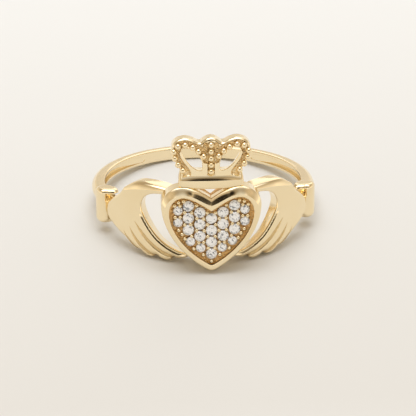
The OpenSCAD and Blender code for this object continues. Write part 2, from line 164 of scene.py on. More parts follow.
def angle(name, degrees, text):
    return FloatProperty(name=name, description=text, default=math.radians(degrees), subtype="ANGLE")


def colour(name, code, text):
    return FloatVectorProperty(name=name, description=text, subtype="COLOR", size=4, min=0, max=1,
                               default=linear(code))


def linear(code):
    """An sRGB hex colour as the linear colour that shaders and lights take"""
    parts = [int(code[i:i + 2], 16) / 255 for i in (1, 3, 5)]
    return tuple(c / 12.92 if c <= 0.04045 else ((c + 0.055) / 1.055) ** 2.4 for c in parts) + (1.0,)


class RING_PG_sizes(bpy.types.PropertyGroup):
    finger_d: length("Finger", 17.3, "Inner diameter of the ring")
    shank_t: length("Shank thickness", 1.15, "Thickness of the shank, from the finger outwards")
    shank_w: length("Shank width", 1.1, "Width of the shank along the finger")
    shank_bevel: length("Shank bevel", 0.1, "Bevel of the two inner edges")
    channel_w: length("Hollow width", 0.6, "Width of the hollow in the inner face")
    channel_depth: length("Hollow depth", 0.35, "Depth of the hollow in the inner face")
    channel_start: angle("Hollow start", 36, "Angle from the back to the hollow's end")
    channel_run: length("Hollow run", 2.8, "Distance over which the hollow deepens from its end")
    cuff_angle: angle("Cuff angle", 67.5, "Angle from the heart to each cuff")
    cuff_d: length("Cuff width", 1.6, "Width of the upright cuff bar")
    cuff_h: length("Cuff height", 3.1, "Height of the cuff bar")
    cuff_round: length("Cuff rounding", 0.45, "Rounding of the cuff's bottom edge")
    cuff_lip: length("Cuff lip", 0.32, "Rounding of the lip on top of the cuff")
    cuff_scoop: length("Cuff hollow", 0.42, "Depth of the hollow below the lip, and the lip's reach over it")
    cuff_drop: length("Cuff drop", 0.35, "How far the cuff's middle lies below the shank's")
    wrist_t: length("Wrist thickness", 0.94, "Thickness of the wrist's waist, from the finger outwards")
    wrist_h: length("Wrist height", 1.24, "Height of the wrist's waist")
    wrist_drop: length("Wrist drop", 0.15, "How far the wrist's middle lies below the shank's")
    hand_t: length("Hand thickness", 1.45, "Thickness of the hands, from the finger outwards")
    hand_h: length("Fingertips", 3.5, "Reach of the fingertips below the shank's middle")
    thumb_h: length("Thumb", 3.1, "Height of the thumb above the shank's middle")
    hand_edge: length("Hand edge", 0.34, "Radius of the hand's outer edge")
    thumb_turn: length("Thumb rounding", 0.95, "How far the thumb's top turns back")
    groove_w: length("Groove width", 0.34, "Width of the grooves between the fingers")
    groove_t: length("Groove depth", 0.15, "Depth of the grooves between the fingers")
    head_t: length("Heart depth", 2.75, "Distance from the finger to the front of the heart")
    heart_w: length("Heart width", 8.4, "Width of the heart")
    lobe_h: length("Lobes", 3.56, "Height of the lobes above the shank's middle")
    notch_h: length("Notch", 2.6, "Height of the notch between the lobes")
    tip_h: length("Tip", 3.85, "Depth of the heart's tip below the shank's middle")
    tip_r: length("Tip radius", 0.8, "Radius of the heart's tip")
    shoulder_t: length("Shoulder depth", 0.42, "Depth of the rounded shoulder")
    shoulder_top: length("Shoulder over the lobes", 0.58, "Width of the shoulder over the lobes")
    shoulder_side: length("Shoulder at the sides", 0.24, "Width of the shoulder at the sides")
    rim_side: length("Side rim", 0.4, "Width of the flat rim at the sides")
    rim_top: length("Top rim", 0.24, "Width of the flat rim over the lobes")
    field_t: length("Field depth", 0.45, "Depth of the paved field below the rim")
    plate_t: length("Field plate", 0.55, "Thickness of the metal under the field")
    notch_depth: length("Notch wall", 1.2, "Depth of the notch's wall")
    body_t: length("Heart's straight wall", 0.95, "Distance from the finger at which the wall draws in")
    stone_d: length("Large stones", 0.95, "Diameter of the large stones")
    small_d: length("Small stones", 0.8, "Diameter of the small stones")
    stone_pitch: length("Stone pitch", 1.05, "Distance between stones in one column")
    column_pitch: length("Column pitch", 0.97, "Distance between the columns")
    stone_top: length("First stone", 0.8, "Height of the first stone in the middle column")
    prong_d: length("Prong beads", 0.34, "Diameter of the beads between the stones")
    rim_bead_d: length("Rim beads", 0.38, "Diameter of the beads along the heart's rim")
    bar_w: length("Bar width", 5.45, "Width of the crown's bar")
    bar_h: length("Bar height", 1.54, "Height of the crown's bar")
    bar_t: length("Bar thickness", 1.35, "Thickness of the crown's bar")
    bar_flat: length("Bar face", 0.74, "Height of the bar's flat front")
    bar_corner: length("Bar corners", 0.32, "Radius of the bar's upright corners")
    bar_round: length("Bar rounding", 0.8, "Depth of the rounding over the bar's front")
    bar_bow: length("Bar bow", 0.15, "How far the bar's front falls back at its ends")
    bar_back: length("Bar setback", 0.35, "How far the bar's front lies behind the heart's")
    bar_sink: length("Bar sink", 0.18, "How far the bar's bottom lies below the lobes")
    crown_sink: length("Crown sink", 0.1, "How far the crown's outline starts below the lobes")
    crown_h: length("Crown height", 4.35, "Height of the crown's outline")
    loop_w: length("Crown width", 6.6, "Width across the two loops")
    loop_t: length("Loop thickness", 1.1, "Thickness of the loops")
    loop_back: length("Loop setback", 0.2, "How far the loops' front lies behind the bar's")
    ground_t: length("Crown ground", 0.17, "Depth of the punched ground round the crown's beads")
    bead_d: length("Crown beads", 0.53, "Diameter of the beads on the crown")


class RING_PG_finish(bpy.types.PropertyGroup):
    gold: colour("Gold", "#faeac8", "Colour of the polished gold")
    gold_deep: colour("Deep gold", "#f3deb2", "Colour of the gold where its alloy looks deeper")
    # The punched ground's two colours, mixed by noise; between the stones their deeper tone is partly painted
    # shade
    gold_ground_and_shade: colour("Punched gold", "#f3d29a", "Colour of the punched ground by stones and beads")
    gold_shade: colour("Shade of punched gold", "#e0b278", "Colour of the punched ground's pits")
    gold_open: colour("Open punched gold", "#f0cd8c", "Colour of the pits in the crown's ground")
    # Painted shade: the deeper orange of the notch's walls
    gold_notch_painted_shade: colour("Cast gold", "#dcaa58", "Colour of the unpolished casting in the notch")
    # Painted shade: near black on the field's lower wall, standing in for its dark reflection
    gold_wall_painted_shade: colour("Field's wall", "#4c3418", "Colour of the unpolished wall under the rim")
    # Painted shade: the darker colour of the grooves' floors
    gold_satin_painted_shade: colour("Satin gold", "#b9a274", "Colour of the satin grooves between the fingers")
    # Painted glints and painted shade: the facets are painted between these two colours
    stone: colour("Stones", "#ffffff", "Colour of the brightest facets")
    stone_painted_shade: colour("Stones' shade", "#80868f", "Colour of the darkest facets")
    gold_rough: FloatProperty(name="Gold roughness", description="Roughness of the polished gold",
                              default=0.12, min=0, max=1, subtype="FACTOR")
    paper: colour("Floor", "#e9ebec", "Colour of the paper behind the ring")
    # Painted shade: the paper's darker band in front of the ring
    paper_painted_shade: colour("Floor in front", "#dbdad7", "Colour of the paper in front of the ring")
    view_tilt: angle("Camera height", 29.28, "Camera angle above the floor")
    view_turn: angle("Camera turn", -3.96, "Camera angle round the ring, from the front")
    view_roll: angle("Camera roll", 0.5, "How far the camera is turned about its own axis")


class Plan:
    """The sizes in millimetres, with the places that follow from them"""

    def __init__(self, sizes):
        for name in sizes.__annotations__:
            value = getattr(sizes, name)
            turned = name in ("channel_start", "cuff_angle")
            setattr(self, name, math.degrees(value) if turned else value / MM)
        self.finger_r = self.finger_d / 2
        self.hand_r = self.finger_r + self.hand_t
        self.front = self.finger_r + self.head_t
        self.field = self.front - self.field_t
        self.bar_front = self.front - self.bar_back
        self.bar_bottom = self.lobe_h - self.bar_sink
        self.crown_foot = self.lobe_h - self.crown_sink
        self.loop_front = self.bar_front - self.loop_back
        self.wall_back = self.finger_r + self.body_t
        self.bore = self.finger_r + BORE_GAP

    def on_crown(self, points):
        """Places in the crown's tables, as [mm, height in mm]"""
        points = np.asarray(points, float)
        return np.stack([points[..., 0] * self.loop_w / 2,
                         self.crown_foot + points[..., 1] * self.crown_h], -1)

    def stones(self):
        """[x, height, diameter] of every stone"""
        found = []
        for column, rise, large, small, pull in COLUMNS:
            for side in ([1] if column == 0 else [-1, 1]):
                for i in range(large + small):
                    last = pull if i == large + small - 1 else 0
                    found.append((side * (column - last) * self.column_pitch,
                                  self.stone_top + (rise - i) * self.stone_pitch,
                                  self.stone_d if i < large else self.small_d))
        return np.array(found)


# Lines

def curve(a, b, c, d, steps):
    """A cubic curve from a to d with the handles b and c, without its first point"""
    t = (np.arange(1, steps + 1) / steps)[:, None]
    s = 1 - t
    return s**3 * np.array(a) + 3*t*s*s * np.array(b) + 3*t*t*s * np.array(c) + t**3 * np.array(d)


def through(points, steps, closed=False):
    """A smooth line through all the given points"""
    p = np.asarray(points, float)
    ext = np.vstack([p[-1:], p, p[:2]]) if closed else np.vstack([p[:1], p, p[-1:]])
    out = []
    spans = len(p) if closed else len(p) - 1
    for i in range(spans):
        a, b, c, d = ext[i:i + 4]
        t = (np.arange(steps) / steps)[:, None]
        out.append(b + t*(c - a)/2 + t*t*(2*a - 5*b + 4*c - d)/2 + t**3*(3*b - a - 3*c + d)/2)
    if not closed:
        out.append(p[-1:])
    return np.vstack(out)


def run_of(line):
    """The distance along a line at each of its points"""
    return np.concatenate([[0], np.cumsum(np.linalg.norm(np.diff(line, axis=0), axis=1))])


def at_run(line, run):
    """The points of a line at the given distances along it"""
    own = run_of(line)
    return np.stack([np.interp(run, own, line[:, k]) for k in range(line.shape[1])], -1)


def nearest(points, line):
    """The distance from each point to a line, and how far along the line its nearest place lies"""
    flat = points.reshape(-1, 2)
    best = np.full(len(flat), 1e9)
    where = np.zeros(len(flat))
    run = run_of(line)
    for i in range(len(line) - 1):
        a, d = line[i], line[i + 1] - line[i]
        size = float(d @ d) or 1e-12
        t = np.clip(((flat - a) @ d) / size, 0, 1)
        gap = np.hypot(flat[:, 0] - a[0] - t*d[0], flat[:, 1] - a[1] - t*d[1])
        closer = gap < best
        best[closer] = gap[closer]
        where[closer] = (run[i] + t * math.sqrt(size))[closer]
    return best.reshape(points.shape[:-1]), where.reshape(points.shape[:-1])


def inside(points, outline):
    """Whether each point lies inside a closed outline"""
    x, z = points[..., 0], points[..., 1]
    odd = np.zeros(x.shape, bool)
    for a, b in zip(outline, np.roll(outline, -1, axis=0)):
        if a[1] != b[1]:
            odd ^= ((a[1] > z) != (b[1] > z)) & (x < a[0] + (z - a[1]) / (b[1] - a[1]) * (b[0] - a[0]))
    return odd


def smooth(t):
    t = np.clip(t, 0, 1)
    return t * t * (3 - 2 * t)


def round_over(gap, radius, depth):
    """How far a surface falls at a distance from a rounded edge"""
    t = np.clip(1 - gap / radius, 0, 1)
    return depth * (1 - np.sqrt(1 - t * t))


# Surfaces

def round_finger(at, radius, z):
    """Points at an angle from the heart, a distance from the finger's axis, and a height"""
    a = np.radians(at)
    return np.stack(np.broadcast_arrays(radius * np.sin(a), -radius * np.cos(a), z), -1)


def from_front(points, y):
    """Points of a front view, at a depth"""
    points = np.asarray(points, float)
    return np.stack(np.broadcast_arrays(points[..., 0], y, points[..., 1]), -1)


def in_frame(points):
    """Millimetres round the upright finger's axis, as metres in the leaning ring's frame"""
    x, y, z = points[..., 0], points[..., 1], points[..., 2]
    return np.stack([x, y * LEAN_COS + z * LEAN_SIN, z * LEAN_COS - y * LEAN_SIN], -1) * MM


def settle(piece):
    """Merges a piece's seams and poles and turns its faces outwards"""
    bpy.ops.object.mode_set(mode="EDIT")
    bpy.ops.mesh.select_all(action="SELECT")
    bpy.ops.mesh.remove_doubles(threshold=WELD)
    bpy.ops.mesh.normals_make_consistent(inside=False)
    bpy.ops.object.mode_set(mode="OBJECT")
    return piece


def grid_piece(name, points):
    """A primitive grid whose points are moved to their places, row by row"""
    rows, columns = points.shape[:2]
    bpy.ops.object.select_all(action="DESELECT")
    bpy.ops.mesh.primitive_grid_add(x_subdivisions=columns - 1, y_subdivisions=rows - 1, size=1)
    piece = bpy.context.object
    piece.name = piece.data.name = name
    piece.data.vertices.foreach_set("co", in_frame(points).astype(np.float32).ravel())
    piece.data.update()
    return piece


def skin(name, rows, marks=None, first=0):
    """A closed skin over rows of points that each run once round. The faces that start at a marked point
    take the finish of that number; the marks belong to the rows from first on"""
    rows = np.concatenate([rows, rows[:, :1]], axis=1)
    piece = grid_piece(name, rows)
    if marks is not None:
        numbers = np.zeros((len(rows) - 1, rows.shape[1] - 1), np.int32)
        numbers[first:first + len(marks), :marks.shape[1]] = marks
        piece.data.polygons.foreach_set("material_index", numbers.ravel())
    return settle(piece)


def shell(name, rows, marks=None):
    """A skin whose first and last rows close to a point"""
    rows = np.asarray(rows, float)
    ends = [np.broadcast_to(row.mean(0), row.shape) for row in (rows[0], rows[-1])]
    rows = np.concatenate([ends[0][None], rows, ends[1][None]])
    return skin(name, rows, None if marks is None else marks[:-1], first=1)


def finish_piece(context, piece, crease=40, finishes=(GOLD,)):
    """Shades a piece, gives it its finishes, and fixes it to the ring in place of the casting"""
    marks = np.zeros(len(piece.data.polygons), np.int32)
    piece.data.polygons.foreach_get("material_index", marks)
    bpy.ops.object.select_all(action="DESELECT")
    piece.select_set(True)
    bpy.context.view_layer.objects.active = piece
    bpy.ops.object.shade_smooth_by_angle(angle=math.radians(crease))
    # Clearing the finishes clears the marks too, so they are set again
    piece.data.materials.clear()
    for name in finishes:
        piece.data.materials.append(metal(context, name))
    piece.data.polygons.foreach_set("material_index", marks)
    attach(piece, "root")
    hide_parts("ring_casting")


def copy_of(piece):
    """A copy of a piece with a mesh of its own"""
    twin = piece.copy()
    twin.data = piece.data.copy()
    bpy.context.scene.collection.objects.link(twin)
    return twin


def other_side(piece, name):
    """A mirrored copy of a piece, for the left of the ring"""
    twin = copy_of(piece)
    twin.name = twin.data.name = name
    twin.data.transform(Matrix.Scale(-1, 4, (1, 0, 0)))
    twin.data.flip_normals()
    return twin


def bead_at_front(size, around, over):
    """A round bead with its poles along the view from the front"""
    bpy.ops.object.select_all(action="DESELECT")
    bpy.ops.mesh.primitive_uv_sphere_add(segments=around, ring_count=over, radius=size / 2 * MM)
    bead = bpy.context.object
    bead.data.transform(Matrix.Rotation(math.radians(90) - math.atan2(LEAN_SIN, LEAN_COS), 4, "X"))
    return bead


def joined(name, pieces):
    """One piece made of several"""
    bpy.ops.object.select_all(action="DESELECT")
    for piece in pieces:
        piece.select_set(True)
    bpy.context.view_layer.objects.active = pieces[0]
    bpy.ops.object.join()
    pieces[0].name = pieces[0].data.name = name
    return pieces[0]


def repeated(name, pattern, centres):
    """One piece made of copies of a pattern, each with its middle at one of the centres"""
    copies = []
    for centre in in_frame(np.asarray(centres, float)):
        copies.append(copy_of(pattern))
        copies[-1].data.transform(Matrix.Translation(centre))
    bpy.data.objects.remove(pattern)
    return joined(name, copies)


# Materials

def add(tree, kind, inputs=None, **settings):
    """Adds a node with its settings; an input is a value or the socket that feeds it"""
    made = tree.nodes.new(kind)
    for key, value in settings.items():
        setattr(made, key, value)
    for key, value in (inputs or {}).items():
        if isinstance(value, bpy.types.NodeSocket):
            tree.links.new(value, made.inputs[key])
        else:
            made.inputs[key].default_value = value
    return made


def blank_material(name):
    material = bpy.data.materials.new(name)
    material.use_nodes = True
    material.node_tree.nodes.clear()
    return material, material.node_tree


def polished_gold(finish):
    """14 karat yellow gold, cast and then polished: soft mirror reflections, with faint waves of the
    polishing wheel a few tenths of a millimetre long, and a slightly deeper colour in patches"""
    material, tree = blank_material(GOLD)
    place = add(tree, "ShaderNodeTexCoord").outputs["Object"]
    rough = finish.gold_rough
    patches = add(tree, "ShaderNodeTexNoise", {"Vector": place, "Scale": 1 / (4 * MM), "Detail": 2.0})
    tint = add(tree, "ShaderNodeMix", {"Factor": patches.outputs["Fac"], 6: finish.gold, 7: finish.gold_deep},
               data_type="RGBA")
    haze = add(tree, "ShaderNodeTexNoise", {"Vector": place, "Scale": 1 / (1.2 * MM), "Detail": 3.0})
    gloss = add(tree, "ShaderNodeMapRange", {"Value": haze.outputs["Fac"], "From Min": 0.3, "From Max": 0.7,
                                             "To Min": rough * 0.8, "To Max": rough * 1.25})
    waves = add(tree, "ShaderNodeTexNoise", {"Vector": place, "Scale": 1 / (0.8 * MM), "Detail": 1.0})
    bump = add(tree, "ShaderNodeBump", {"Height": waves.outputs["Fac"], "Strength": 0.12,
                                        "Distance": 0.01 * MM})
    shader = add(tree, "ShaderNodeBsdfPrincipled", {
        "Base Color": tint.outputs[2], "Metallic": 1.0, "Roughness": gloss.outputs["Result"],
        "Normal": bump.outputs["Normal"]})
    add(tree, "ShaderNodeOutputMaterial", {"Surface": shader.outputs["BSDF"]})
    return material


def punched_gold(name, light, shade):
    """Gold as it leaves the casting and the punch, between the stones, between the crown's beads and on the
    walls that no
    wheel reaches: matt, pitted every tenth of a millimetre, and mixed by a fine noise between two colours.
    Its deeper colours are partly painted shade between the stones, and painted shade on the notch's walls and
    the field's lower wall"""
    material, tree = blank_material(name)
    place = add(tree, "ShaderNodeTexCoord").outputs["Object"]
    pits = add(tree, "ShaderNodeTexVoronoi", {"Vector": place, "Scale": 1 / (0.13 * MM)})
    grain = add(tree, "ShaderNodeTexNoise", {"Vector": place, "Scale": 1 / (0.3 * MM), "Detail": 3.0})
    tint = add(tree, "ShaderNodeMix", {"Factor": grain.outputs["Fac"], 6: light, 7: shade},
               data_type="RGBA")
    bump = add(tree, "ShaderNodeBump", {"Height": pits.outputs["Distance"], "Strength": 1.0,
                                        "Distance": 0.09 * MM})
    shader = add(tree, "ShaderNodeBsdfPrincipled", {
        "Base Color": tint.outputs[2], "Metallic": 1.0, "Roughness": 0.32, "Normal": bump.outputs["Normal"]})
    add(tree, "ShaderNodeOutputMaterial", {"Surface": shader.outputs["BSDF"]})
    return material


def groove_satin_and_shade(finish):
    """The floors of the grooves between the fingers, which the polishing wheel doesn't reach: a satin surface
    with a fine grain, its colour painted darker than the polished metal as painted shade in the grooves"""
    material, tree = blank_material(SATIN_PAINTED_SHADE)
    place = add(tree, "ShaderNodeTexCoord").outputs["Object"]
    grain = add(tree, "ShaderNodeTexNoise", {"Vector": place, "Scale": 1 / (0.12 * MM), "Detail": 3.0})
    tint = add(tree, "ShaderNodeMix", {"Factor": grain.outputs["Fac"], 6: finish.gold_ground_and_shade,
                                       7: finish.gold_satin_painted_shade}, data_type="RGBA")
    bump = add(tree, "ShaderNodeBump", {"Height": grain.outputs["Fac"], "Strength": 0.5,
                                        "Distance": 0.02 * MM})
    shader = add(tree, "ShaderNodeBsdfPrincipled", {
        "Base Color": tint.outputs[2], "Metallic": 1.0, "Roughness": 0.3, "Normal": bump.outputs["Normal"]})
    add(tree, "ShaderNodeOutputMaterial", {"Surface": shader.outputs["BSDF"]})
    return material


def cut_zirconia(finish):
    """Colourless cubic zirconia, cut and polished: clear, with flat facets. Each facet, and small cells
    across it, is
    painted its own white or grey: painted glints and painted shade for the light the stone throws back
    through its crown"""
    material, tree = blank_material("cut_cubic_zirconia")
    facet = add(tree, "ShaderNodeNewGeometry").outputs["True Normal"]
    place = add(tree, "ShaderNodeTexCoord").outputs["Object"]
    # Painted glints and painted shade, random by facet and by small cells
    glints = add(tree, "ShaderNodeTexVoronoi", {"Vector": place, "Scale": 1 / (0.16 * MM)})
    moved = add(tree, "ShaderNodeVectorMath", {0: facet, 1: (37.0, 51.0, 43.0)}, operation="MULTIPLY")
    chance = add(tree, "ShaderNodeTexWhiteNoise", {"Vector": moved.outputs["Vector"]}, noise_dimensions="3D")
    both = add(tree, "ShaderNodeMath", {0: chance.outputs["Value"], 1: glints.outputs["Color"]},
               operation="ADD")
    share = add(tree, "ShaderNodeMapRange", {"Value": both.outputs["Value"], "From Min": 0.48,
                                             "From Max": 0.78})
    tint = add(tree, "ShaderNodeMix", {"Factor": share.outputs["Result"], 6: finish.stone_painted_shade,
                                       7: finish.stone}, data_type="RGBA")
    shader = add(tree, "ShaderNodeBsdfPrincipled", {
        "Base Color": tint.outputs[2], "Metallic": 0.0, "Roughness": 0.03, "IOR": 2.16,
        "Transmission Weight": 0.03})
    add(tree, "ShaderNodeOutputMaterial", {"Surface": shader.outputs["BSDF"]})
    return material


def metal(context, name):
    """A finish of the metal, made when a piece first asks for it"""
    finish = context.scene.ring_finish
    found = bpy.data.materials.get(name)
    if found:
        return found
    if name in SHADES:
        return punched_gold(name, *(getattr(finish, key) for key in SHADES[name]))
    return {GOLD: polished_gold, SATIN_PAINTED_SHADE: groove_satin_and_shade}[name](finish)


# The heart's outline

def heart(p, top, notch, side, tip, sag=0.0):
    """The heart as seen from the front, drawn in by its own amount at the lobes, notch, sides and tip"""
    half = p.heart_w / 2 - side
    ease = half / (p.heart_w / 2)
    lobe = np.array([0.57 * p.heart_w / 2, p.lobe_h - top])
    hip = np.array([half, lobe[1] - 0.37 * half])
    low = -p.tip_h + tip
    turn = p.tip_r * max(0.4, 1 - tip)
    slope = math.radians(30)
    foot = np.array([turn * math.sin(slope), low + turn * (1 - math.cos(slope))])
    dip = np.array([0, p.notch_h - notch])
    tail = np.linspace(slope, 0, 13)[1:]
    right = np.vstack([
        dip[None],
        curve(dip, dip + [0.75 + 0.2*sag, 0.5 - 0.16*sag], lobe - [0.85*ease + 0.15*sag, 0], lobe, 42),
        curve(lobe, lobe + [0.55 * (half - lobe[0]), 0], hip + [0, 0.55 * (lobe[1] - hip[1])], hip, 36),
        curve(hip, hip - [0, 2.15 * ease], foot + 2.35 * ease * np.array([math.cos(slope), math.sin(slope)]),
              foot, 54),
        np.stack([turn * np.sin(tail), low + turn * (1 - np.cos(tail))], -1)])
    left = right[-2:0:-1] * [-1, 1]
    return np.vstack([right, left])


def field_line(p, more):
    """The outline of the sunken field, drawn in by more"""
    return heart(p, p.shoulder_top + p.rim_top + more, p.shoulder_top + 2 * p.rim_top + more,
                 p.shoulder_side + p.rim_side + more, p.shoulder_side + 0.85 * p.rim_side + more)


def shoulder_line(p, share):
    """The outline at a share of the way from the front crease out to the wall"""
    crease = heart(p, p.shoulder_top, p.shoulder_top, p.shoulder_side, p.shoulder_side, 1)
    return crease + (heart(p, 0, 0, 0, 0) - crease) * share


def both_sides(points):
    """The given points and their mirror images; one in the middle is kept once"""
    points = np.asarray(points, float)
    return np.vstack([points, points[points[:, 0] > 0] * [-1, 1]])


class RING_OT_shank(bpy.types.Operator):
    """The band: half round outside, flat inside with fine bevels and a hollow on each side"""
    bl_idname = "ring.shank"
    bl_label = "Shank"

    def execute(self, context):
        p = Plan(context.scene.ring_sizes)
        half = p.shank_w / 2
        flat = half - p.shank_bevel
        # The points across the inner face lie close together at the hollow's edges
        edge = p.channel_w / 2
        to_edge = np.concatenate([[-flat, -edge - 0.09, -edge - 0.04],
                                  np.linspace(-edge - 0.01, 0.08 - edge, 10)])
        across = np.concatenate([to_edge, np.linspace(0.12 - edge, edge - 0.12, 9), -to_edge[::-1]])
        turn = np.radians(np.linspace(0, 90, 5))[1:]
        bevel = np.stack([p.shank_bevel * (1 - np.cos(turn)), flat + p.shank_bevel * np.sin(turn)], -1)
        arc = np.radians(np.linspace(90, -90, 41))
        outside = np.stack([p.shank_t - half + half * np.cos(arc), half * np.sin(arc)], -1)
        section = np.vstack([np.stack([0 * across, across], -1), bevel, outside, (bevel * [1, -1])[::-1]])
        # Rows run round from cuff to cuff, close together at the ends of the hollows
        end = 180 - p.channel_start
        angles = np.concatenate([np.arange(p.cuff_angle - 2.5, 76, 0.5), np.arange(76, end - 1, 1.0),
                                 np.arange(end - 1, end + 3.5, 0.16), np.arange(end + 3.5, 180, 1.0)])
        angles = np.concatenate([angles, [180], 360 - angles[::-1]])
        inner = np.arange(len(section)) < len(across)
        degree = math.pi / 180 * p.finger_r
        rows = []
        for at in angles:
            near = min(at, 360 - at)
            past = max(near - end, 0, p.cuff_angle + 6 - near) * degree
            # The hollow grows shallow towards its round end
            depth = p.channel_depth * (0.1 + 0.9 * smooth((end - near) * degree / p.channel_run))
            dent = depth * smooth((edge + 0.005 - np.hypot(section[:, 1], past)) / 0.06) * inner
            rows.append(round_finger(at, p.finger_r + section[:, 0] + dent, section[:, 1]))
        finish_piece(context, shell("shank", rows), crease=50)
        return {"FINISHED"}


class RING_OT_cuffs(bpy.types.Operator):
    """Upright bars across the ends of the shank, each with a short wrist"""
    bl_idname = "ring.cuffs"
    bl_label = "Cuffs and wrists"

    def execute(self, context):
        p = Plan(context.scene.ring_sizes)
        r = p.cuff_d / 2
        # Its section lies between a circle and a square, turned from outwards to along the ring
        turn = np.linspace(0, 360, 97)[:-1]
        out, side = [np.sign(part) * np.abs(part) ** 0.8
                     for part in (np.cos(np.radians(turn)), np.sin(np.radians(turn)))]
        a = math.radians(p.cuff_angle)
        outwards = np.array([math.sin(a), -math.cos(a)])
        along = np.array([math.cos(a), math.sin(a)])
        centre = outwards * (p.finger_r + r - 0.05)
        top, low = p.cuff_h / 2, -p.cuff_h / 2
        lip, foot = p.cuff_lip, p.cuff_round
        over = np.radians(np.linspace(90, 0, 12))
        profile = [(0.35 * r, top)]
        profile += [(r - lip + lip * math.cos(b), top - lip + lip * math.sin(b)) for b in over]
        profile += [(r, z) for z in np.linspace(top - lip, low + foot, 56)[1:-1]]
        profile += [(r - foot + foot * math.cos(b), low + foot - foot * math.sin(b)) for b in over[::-1]]
        profile.append((0.35 * r, low))
        # Below its top lip the bar is hollowed on the side of the hand, and the lip reaches over towards it
        hollowed = smooth((292 - turn) / 22) * smooth((turn - 165) / 30)
        reaching = smooth((turn - 172) / 40) * smooth((288 - turn) / 40)
        rows = []
        for width, z in profile:
            height = z - p.cuff_drop
            hollow = smooth((height - 0.1) / 0.25) * smooth((0.88 - height) / 0.12) * hollowed
            reach = smooth((height - 0.82) / 0.08) * reaching
            radius = width + p.cuff_scoop * (reach - hollow) * (width / r)
            xy = centre + (out * radius)[:, None] * outwards + (side * radius)[:, None] * along
            xy *= np.maximum(1, (p.finger_r + 0.01) / np.hypot(xy[:, 0], xy[:, 1]))[:, None]
            rows.append(np.stack([xy[:, 0], xy[:, 1], np.full(len(xy), height)], -1))
        cuff = shell("cuff_right", rows)
        pieces = [cuff, other_side(cuff, "cuff_left")]

        # The wrist is waisted in the middle
        loop = np.radians(np.linspace(0, 360, 49)[:-1])
        rows = []
        for at in np.linspace(67, 53, 15):
            swell = 0.12 * ((at - 60) / 7) ** 2
            radius = p.finger_r + 0.5 + (p.wrist_t / 2 + 0.3 * swell) * np.cos(loop)
            rows.append(round_finger(at, radius, -p.wrist_drop + (p.wrist_h / 2 + swell) * np.sin(loop)))
        wrist = shell("wrist_right", rows)
        for piece in (*pieces, wrist, other_side(wrist, "wrist_left")):
            finish_piece(context, piece)
        return {"FINISHED"}


